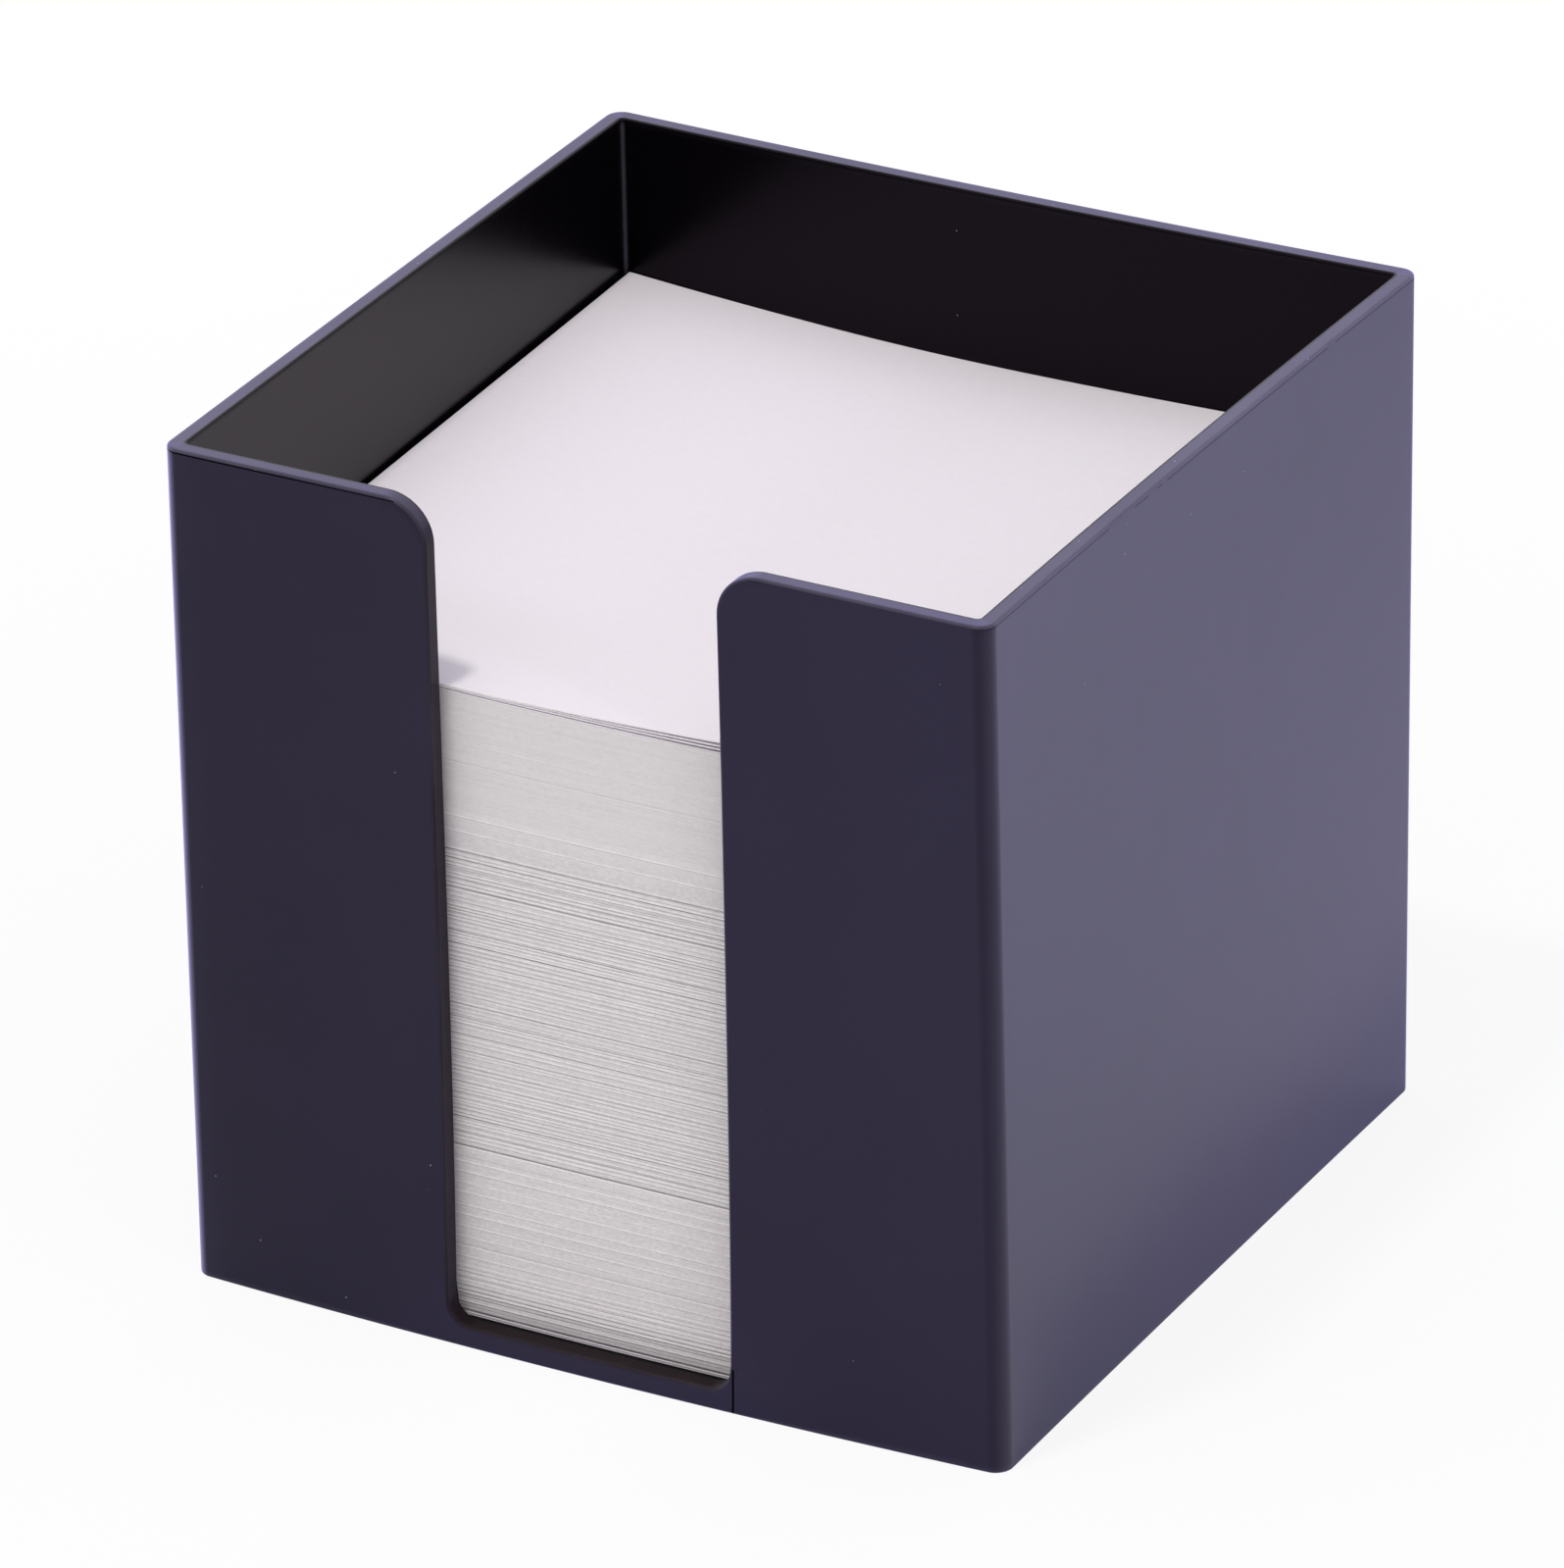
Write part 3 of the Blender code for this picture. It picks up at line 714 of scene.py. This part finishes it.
def makePlastic():
    made = emptyMaterial("satinMouldedPolystyrene")
    add = functools.partial(addNode, made.node_tree)
    tints = coloursOf(plastic)
    place = add("TexCoord").outputs["Object"]
    axes = add("SeparateXYZ", {"Vector": place}).outputs
    names = ("openHazeAndLight", "edgeWearAndHighlight", "slotFace", "sideFace", "mouldHeight", "bloom")
    marks = [add("Attribute", attribute_name=name).outputs["Fac"] for name in names]
    hazeAndLight, wearAndHighlight, slot, side, height, thick = marks
    noises = (("cloudSize", 3.0), ("grainSize", 2.0), ("partingBreak", 2.0))
    cloud, grain, gaps = [
        add("TexNoise", {"Vector": place, "Scale": 1 / plastic[size], "Detail": detail})
        for size, detail in noises
    ]

    # specks of dust, and pale nicks where an edge is worn
    strewn = strewnSpecks(add, place, plastic, "dust")
    nick = add("TexVoronoi", {"Vector": place, "Scale": 1 / plastic["nickSpacing"]})
    small = plastic["nickRadius"] / plastic["nickSpacing"]
    middle = add("Math", {0: nick.outputs["Distance"], 1: small}, operation="LESS_THAN")
    edge = add("Math", {0: wearAndHighlight, 1: plastic["nickWear"]}, operation="GREATER_THAN")
    nicks = add("Math", {0: middle, 1: edge}, operation="MULTIPLY")
    dust = add("Math", {0: strewn, 1: nicks}, operation="MAXIMUM")

    # a dark line below the slot's corner
    strip = {0: axes["X"], 1: plastic["lineX"], 2: plastic["lineWidth"] / 2}
    beside = add("Math", strip, operation="COMPARE")
    below = add("Math", {0: height, 1: plastic["lineTop"]}, operation="LESS_THAN")
    ahead = add("Math", {0: axes["Y"], 1: plastic["lineFront"]}, operation="LESS_THAN")

    # a faint line of painted shade under the rim inside
    insideZ = box["height"] - plastic["insideTop"]
    within = add("Math", {0: height, 1: insideZ, 2: plastic["insideWidth"] / 2}, operation="COMPARE")
    hidden = add("Math", {0: hazeAndLight, 1: plastic["insideMost"]}, operation="LESS_THAN")

    # and the parting line under the rim outside, broken by gaps
    partingZ = box["height"] - plastic["partingTop"]
    level = add("Math", {0: height, 1: partingZ, 2: plastic["partingWidth"] / 2}, operation="COMPARE")
    outside = add("Math", {0: hazeAndLight, 1: plastic["openLeast"]}, operation="GREATER_THAN")
    whole = add("Math", {0: gaps, 1: plastic["partingGaps"]}, operation="GREATER_THAN")
    slope = {0: axes["X"], 1: -plastic["partingFade"] / box["rimHalf"], 2: plastic["partingMiddle"]}
    leftward = add("Math", slope, operation="MULTIPLY_ADD", use_clamp=True)
    change = add("Math", {0: plastic["partingSide"], 1: leftward}, operation="SUBTRACT")
    deep = add("Math", {0: side, 1: change, 2: leftward}, operation="MULTIPLY_ADD")

    # each of the three is the product of its factors, and the strongest one counts
    line = 0.0
    inside = (within, hidden, plastic["insideShare"])
    for share, *factors in ((beside, below, ahead), inside, (level, outside, whole, deep)):
        for factor in factors:
            share = add("Math", {0: share, 1: factor}, operation="MULTIPLY")
        line = add("Math", {0: line, 1: share}, operation="MAXIMUM")
    plain = add("Math", {0: 1.0, 1: line}, operation="SUBTRACT")

    # colours, laid over each other
    # the slot's faces are painted warm brown, speckled by the grain
    least = -plastic["slotSpeckGain"] * plastic["slotSpeckLeast"]
    speck = add("Math", {0: grain, 1: plastic["slotSpeckGain"], 2: least}, operation="MULTIPLY_ADD")
    bright = add("Math", {0: speck, 1: 0.0}, operation="MAXIMUM")
    speckled = add("VectorMath", {0: tints["slotPaintedWarmLight"][:3], "Scale": bright}, operation="SCALE")
    # wear, which on the rim's top, its rounds and the inner corners is also painted highlight
    rubAndHighlight = add("Math", {0: wearAndHighlight, 1: cloud}, operation="MULTIPLY")
    colour = add("Mix", {"Factor": cloud, "A": tints["deepColour"], "B": tints["colour"]}, data_type="RGBA")
    # painted shade: the inner faces take the darker inside colour
    colour = add("Mix", {"Factor": hazeAndLight, "A": tints["insidePaintedShade"], "B": colour}, data_type="RGBA")
    layers = ((slot, speckled), (rubAndHighlight, tints["wornAndHighlightColour"]), (line, black), (dust, tints["dustColour"]))
    for share, layer in layers:
        colour = add("Mix", {"Factor": share, "A": colour, "B": layer}, data_type="RGBA")

    # roughness and shine
    half = plastic["roughnessSpread"] / 2
    reach = {"To Min": plastic["roughness"] - half, "To Max": plastic["roughness"] + half}
    spread = add("MapRange", {"Value": cloud, **reach})
    coarse = add("Math", {0: slot, 1: plastic["slotRough"], 2: spread}, operation="MULTIPLY_ADD")
    rough = add("Math", {0: dust, 1: coarse}, operation="MAXIMUM")
    # painted reflection: the side walls get a lighter gloss tint, lightest at their foot
    fall = {"From Min": 0.0, "From Max": plastic["sideLowTop"], "To Min": 1.0, "To Max": 0.0}
    low = add("MapRange", {"Value": height, **fall})
    tint = add("Mix", {"Factor": low, "A": tints["sidePaintedReflection"], "B": tints["sideLowPaintedReflection"]}, data_type="RGBA")
    tint = add("Mix", {"Factor": side, "A": tints["specularTint"], "B": tint}, data_type="RGBA")
    # painted shade: the inner faces take a darker gloss tint, and below, less gloss
    tint = add("Mix", {"Factor": hazeAndLight, "A": tints["insideShadeTint"], "B": tint}, data_type="RGBA")
    tint = add("Mix", {"Factor": slot, "A": tint, "B": tints["slotTint"]}, data_type="RGBA")
    rise = plastic["openGloss"] - plastic["insideShadeGloss"]
    gloss = add("Math", {0: hazeAndLight, 1: rise, 2: plastic["insideShadeGloss"]}, operation="MULTIPLY_ADD")
    drop = plastic["slotGloss"] / plastic["insideShadeGloss"] - 1
    dull = add("Math", {0: slot, 1: drop, 2: 1.0}, operation="MULTIPLY_ADD")
    gloss = add("Math", {0: gloss, 1: dull}, operation="MULTIPLY")
    gloss = add("Math", {0: gloss, 1: plain}, operation="MULTIPLY")

    # the bloom, cloudy and gone where a line is
    clear = add("Math", {0: hazeAndLight, 1: plain}, operation="MULTIPLY")
    cloudy = {0: cloud, 1: plastic["bloomCloud"], 2: 1 - plastic["bloomCloud"] / 2}
    uneven = add("Math", cloudy, operation="MULTIPLY_ADD")
    strong = add("Math", {0: thick, 1: plastic["hazeWeight"]}, operation="MULTIPLY")
    bloom = add("Math", {0: uneven, 1: strong}, operation="MULTIPLY")
    veil = add("Math", {0: clear, 1: bloom}, operation="MULTIPLY")

    relief = {"Height": grain, "Distance": plastic["grainDepth"], "Strength": plastic["grainStrength"]}
    shader = add(
        "BsdfPrincipled",
        {
            "Base Color": colour,
            "Roughness": rough,
            "IOR": plastic["ior"],
            "Specular IOR Level": gloss,
            "Specular Tint": tint,
            "Sheen Weight": veil,
            "Sheen Roughness": plastic["hazeRoughness"],
            "Sheen Tint": tints["hazeColour"],
            "Normal": add("Bump", relief),
        },
    )
    add("OutputMaterial", {"Surface": shader})
    return made


# Uncoated wood-free note paper: matt white with a cool tint, faint fibre clouds and a soft tooth
paper = {
    "colour": "#F5EEF5",
    "shadeColour": "#EFE8EF",  # the darkest of the sheets, which differ a little from each other
    "ior": 1.5,
    "roughness": 0.92,
    "fibreSize": 0.7 * mm,
    "fibreShare": 0.04,
    "toothSize": 0.18 * mm,
    "toothDepth": 0.006 * mm,
    "toothStrength": 0.5,
    "speckSpacing": 11 * mm,
    "speckRadius": 0.11 * mm,
    "speckShare": 0.5,
    "speckColour": "#B4ACB0",
    "edgeColour": "#EEE9E7",  # cut edges, which look a little warmer
    "edgeSteepness": 0.5,  # a face whose normal rises less than this is a cut edge
    "edgeGrainLong": 0.5 * mm,
    "edgeGrainHigh": 0.2 * mm,
    "edgeGrainShare": 0.18,
    "edgeGrainGain": 2.4,  # how much coarser the grain is below the upper pack
    "edgeGrainFade": 4 * mm,
    "edgeLowShade": 0.917,  # and how light the edges are between the lines there
    "lineLong": 3.0 * mm,  # over which a line on the edges grows fainter and stronger
    "lineWaver": 2.4,
    "burrPaintedHighlight": 0.27,  # how much lighter a burr of 1 is, a painted highlight where the cut edge catches light
    "burrPaintedShade": 0.36,  # how much darker a burr of -1 is, painted shade
    "burrMost": 2.4,  # past which a burr grows no darker
}


def makePaper():
    made = emptyMaterial("uncoatedNotePaper")
    add = functools.partial(addNode, made.node_tree)
    tints = coloursOf(paper)
    place = add("TexCoord").outputs["Object"]
    fibre = add("TexNoise", {"Vector": place, "Scale": 1 / paper["fibreSize"], "Detail": 4.0})
    tooth = add("TexNoise", {"Vector": place, "Scale": 1 / paper["toothSize"], "Detail": 2.0})
    tone = add("Attribute", attribute_name="tone").outputs["Fac"]
    burrAndPaintedLight = add("Attribute", attribute_name="burrAndPaintedLight").outputs["Fac"]
    white = add("Mix", {"Factor": tone, "A": tints["shadeColour"], "B": tints["colour"]}, data_type="RGBA")
    reach = {"To Min": 1 - paper["fibreShare"], "To Max": 1 + paper["fibreShare"] / 2}
    cloud = add("MapRange", {"Value": fibre, **reach})
    mottled = add("VectorMath", {0: white, "Scale": cloud}, operation="SCALE")

    speck = strewnSpecks(add, place, paper, "speck")
    face = add("Mix", {"Factor": speck, "A": mottled, "B": tints["speckColour"]}, data_type="RGBA")

    # cut edges: lines of painted highlight and painted shade that grow fainter and stronger along a
    # sheet, as the burrs say
    slow = 1 / paper["lineLong"]
    along = add("VectorMath", {0: place, 1: (slow, slow, 1 / stack["sheet"])}, operation="MULTIPLY")
    waver = add("TexNoise", {"Vector": along, "Scale": 1.0, "Detail": 2.0})
    waxing = {0: waver, 1: paper["lineWaver"], 2: 1 - paper["lineWaver"] / 2}
    strength = add("Math", {0: burrAndPaintedLight, 1: add("Math", waxing, operation="MULTIPLY_ADD")}, operation="MULTIPLY")
    light = add("Clamp", {"Value": strength, "Min": 0.0, "Max": 1.0})
    dark = add("Clamp", {"Value": strength, "Min": -paper["burrMost"], "Max": 0.0})
    lighter = add("Math", {0: light, 1: paper["burrPaintedHighlight"], 2: 1.0}, operation="MULTIPLY_ADD")
    shade = add("Math", {0: dark, 1: paper["burrPaintedShade"], 2: lighter}, operation="MULTIPLY_ADD")

    # and a streaky grain, coarser and darker below the upper pack
    streak = (1 / paper["edgeGrainLong"], 1 / paper["edgeGrainLong"], 1 / paper["edgeGrainHigh"])
    drawn = add("VectorMath", {0: place, 1: streak}, operation="MULTIPLY")
    grain = add("TexNoise", {"Vector": drawn, "Scale": 1.0, "Detail": 3.0})
    high = add("SeparateXYZ", {"Vector": place}).outputs["Z"]
    start = stackFoot + upperFoot
    fade = {"From Min": start, "From Max": start + paper["edgeGrainFade"]}
    coarse = add("MapRange", {"Value": high, **fade, "To Min": paper["edgeGrainGain"], "To Max": 1.0})
    offset = add("Math", {0: grain, 1: 0.5}, operation="SUBTRACT")
    centred = add("Math", {0: offset, 1: paper["edgeGrainShare"]}, operation="MULTIPLY")
    fall = (1 - paper["edgeLowShade"]) / (paper["edgeGrainGain"] - 1)
    base = add("Math", {0: coarse, 1: -fall, 2: 1 + fall}, operation="MULTIPLY_ADD")
    grained = add("Math", {0: centred, 1: coarse, 2: base}, operation="MULTIPLY_ADD")
    scale = add("Math", {0: shade, 1: grained}, operation="MULTIPLY")
    edge = add("VectorMath", {0: tints["edgeColour"][:3], "Scale": scale}, operation="SCALE")
    normal = add("NewGeometry").outputs["True Normal"]
    steep = add("SeparateXYZ", {"Vector": normal}).outputs["Z"]
    cut = add("Math", {0: steep, 1: 0.0, 2: paper["edgeSteepness"]}, operation="COMPARE")
    coloured = add("Mix", {"Factor": cut, "A": face, "B": edge}, data_type="RGBA")

    relief = {"Height": tooth, "Distance": paper["toothDepth"], "Strength": paper["toothStrength"]}
    shader = add(
        "BsdfPrincipled",
        {
            "Base Color": coloured,
            "Roughness": paper["roughness"],
            "IOR": paper["ior"],
            "Normal": add("Bump", relief),
        },
    )
    add("OutputMaterial", {"Surface": shader})
    return made


# Studio: a pale floor, a white surround, and soft lamps
studio = {
    "floorRings": (0.0002, 0.05, 0.1, 0.2, 0.4, 0.8, 1.6, 4.0),
    "floorSides": 48,
    "floorDrop": 0.02 * mm,
    "floorColour": "#FAFAFC",
    "shadowShare": 0.13,  # how much of the lit floor the camera sees near the box, over plain white
    "shadowStart": 0.1,  # how far from the box's middle that begins to fade
    "shadowReach": 0.30,  # and where it is gone
    "glowColour": "#F7F7FF",
    "horizonGlow": 0.33,  # strength of the white surround as a light, level with the box
    "overheadGlow": 1.67,  # and straight overhead
    "overheadPower": 5.0,
    "lampDistance": 1.1,
}
lamps = (
    {"name": "keyPanel", "azimuth": -14, "elevation": 71, "side": 0.09, "watts": 3.6, "colour": "#FFFDEF"},
    {"name": "rightPanel", "azimuth": 68, "elevation": 21, "side": 0.1, "watts": 1.1, "colour": "#EEEAFF"},
)
white = (1.0, 1.0, 1.0, 1.0)


def towards(azimuth, elevation):
    # the direction of an azimuth and an elevation in degrees: azimuth 0 is the side of the slot
    a, e = math.radians(azimuth), math.radians(elevation)
    return Vector((math.sin(a) * math.cos(e), -math.cos(a) * math.cos(e), math.sin(e)))


def makeFloor():
    # A disc in rings about the box: the camera sees plain white, and near the box the lit floor
    # with the box's shadow shows through it
    rings = np.array(studio["floorRings"])[:, None]
    turn = np.linspace(0, 2 * math.pi, studio["floorSides"] + 1)[:-1]
    x, y = rings * np.cos(turn), rings * np.sin(turn)
    points = np.stack([x, y, np.full_like(x, -studio["floorDrop"])], axis=-1)
    grid = np.arange(x.size).reshape(x.shape)
    ahead = np.roll(grid, -1, axis=1)
    quads = np.stack([grid[:-1], grid[1:], ahead[1:], ahead[:-1]], axis=-1).reshape(-1, 4)
    floor = meshObject("studioFloor", points, quads.tolist() + [grid[0].tolist()])
    made = emptyMaterial("paleStudioFloor")
    add = functools.partial(addNode, made.node_tree)
    place = add("TexCoord").outputs["Object"]
    away = add("VectorMath", {0: place}, operation="LENGTH")
    reach = {"From Min": studio["shadowStart"], "From Max": studio["shadowReach"]}
    gain = {"To Min": 1 - studio["shadowShare"], "To Max": 1.0}
    near = add("MapRange", {"Value": away, **reach, **gain}, interpolation_type="SMOOTHSTEP")
    lit = add("BsdfDiffuse", {"Color": hexColour(studio["floorColour"])})
    plain = add("Emission", {"Color": white, "Strength": 1.0})
    seen = add("LightPath").outputs["Is Camera Ray"]
    share = add("Math", {0: seen, 1: near}, operation="MULTIPLY")
    add("OutputMaterial", {"Surface": add("MixShader", {0: share, 1: lit, 2: plain})})
    floor.data.materials.append(made)


def makeSurround():
    # White to the camera, in mirrors and through glass, and on everything else a soft light that
    # grows towards the zenith: horizonGlow + (overheadGlow - horizonGlow) z^overheadPower
    world = bpy.data.worlds.new("whiteSurround")
    bpy.context.scene.world = world
    world.use_nodes = True
    world.node_tree.nodes.clear()
    add = functools.partial(addNode, world.node_tree)
    heading = add("TexCoord").outputs["Generated"]
    height = add("SeparateXYZ", {"Vector": heading}).outputs["Z"]
    above = add("Math", {0: height, 1: 0.0}, operation="MAXIMUM")
    steep = add("Math", {0: above, 1: studio["overheadPower"]}, operation="POWER")
    gain = studio["overheadGlow"] - studio["horizonGlow"]
    glow = add("Math", {0: steep, 1: gain, 2: studio["horizonGlow"]}, operation="MULTIPLY_ADD")
    light = add("Background", {"Color": hexColour(studio["glowColour"]), "Strength": glow})
    plain = add("Background", {"Color": white, "Strength": 1.0})
    rays = add("LightPath").outputs
    seen = add("Math", {0: rays["Is Camera Ray"], 1: rays["Is Glossy Ray"]}, operation="MAXIMUM")
    seen = add("Math", {0: seen, 1: rays["Is Transmission Ray"]}, operation="MAXIMUM")
    add("OutputWorld", {"Surface": add("MixShader", {0: seen, 1: light, 2: plain})})


def makeLamps():
    aim = Vector((0, 0, box["height"] / 2))
    for lamp in lamps:
        data = bpy.data.lights.new(lamp["name"], "AREA")
        data.shape = "SQUARE"
        data.size = lamp["side"]
        data.energy = lamp["watts"]
        data.color = hexColour(lamp["colour"])[:3]
        made = bpy.data.objects.new(lamp["name"], data)
        out = towards(lamp["azimuth"], lamp["elevation"])
        made.location = aim + out * studio["lampDistance"]
        made.rotation_euler = out.to_track_quat("Z", "Y").to_euler()
        bpy.context.scene.collection.objects.link(made)


# Camera: fitted to the photograph's corners and edges of the box
view = {
    "azimuth": 28.8438,
    "elevation": 26.5183,
    "roll": -1.0126,
    "distance": 1.38200,
    "right": -3.0623 * mm,  # where the middle of the picture lies, across and up from the origin
    "up": 41.5036 * mm,
    "focal": 13379.58,  # in pixels of the photograph
    "pictureHeight": 1599,
    "sensor": 36.0,
    "near": 0.05,
    "far": 20.0,
}


def makeCamera():
    back = towards(view["azimuth"], view["elevation"])
    a, turn = math.radians(view["azimuth"]), math.radians(view["roll"])
    level = Vector((math.cos(a), math.sin(a), 0))
    above = back.cross(level)
    right = level * math.cos(turn) + above * math.sin(turn)
    up = above * math.cos(turn) - level * math.sin(turn)
    data = bpy.data.cameras.new("pictureCamera")
    data.sensor_width = view["sensor"]
    data.lens = view["focal"] / view["pictureHeight"] * view["sensor"]
    data.clip_start = view["near"]
    data.clip_end = view["far"]
    camera = bpy.data.objects.new("pictureCamera", data)
    bpy.context.scene.collection.objects.link(camera)
    place = back * view["distance"] + right * view["right"] + up * view["up"]
    camera.matrix_world = Matrix.Translation(place) @ Matrix((right, up, back)).transposed().to_4x4()
    bpy.context.scene.camera = camera


makeCamera()
shell = makeHousing()
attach(shell, "box")
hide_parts("housing")
shell.data.materials.append(makePlastic())
print("box:", len(shell.data.polygons), "faces")

sheets = makeSheets()
notePaper = makePaper()
for sheet in sheets:
    sheet.data.materials.append(notePaper)
print("paper:", len(sheets), "pieces,", sum(len(sheet.data.polygons) for sheet in sheets), "faces")

makeFloor()
makeSurround()
makeLamps()
bpy.context.scene.view_settings.view_transform = "Standard"
print("studio: floor, surround and", len(lamps), "lamps")
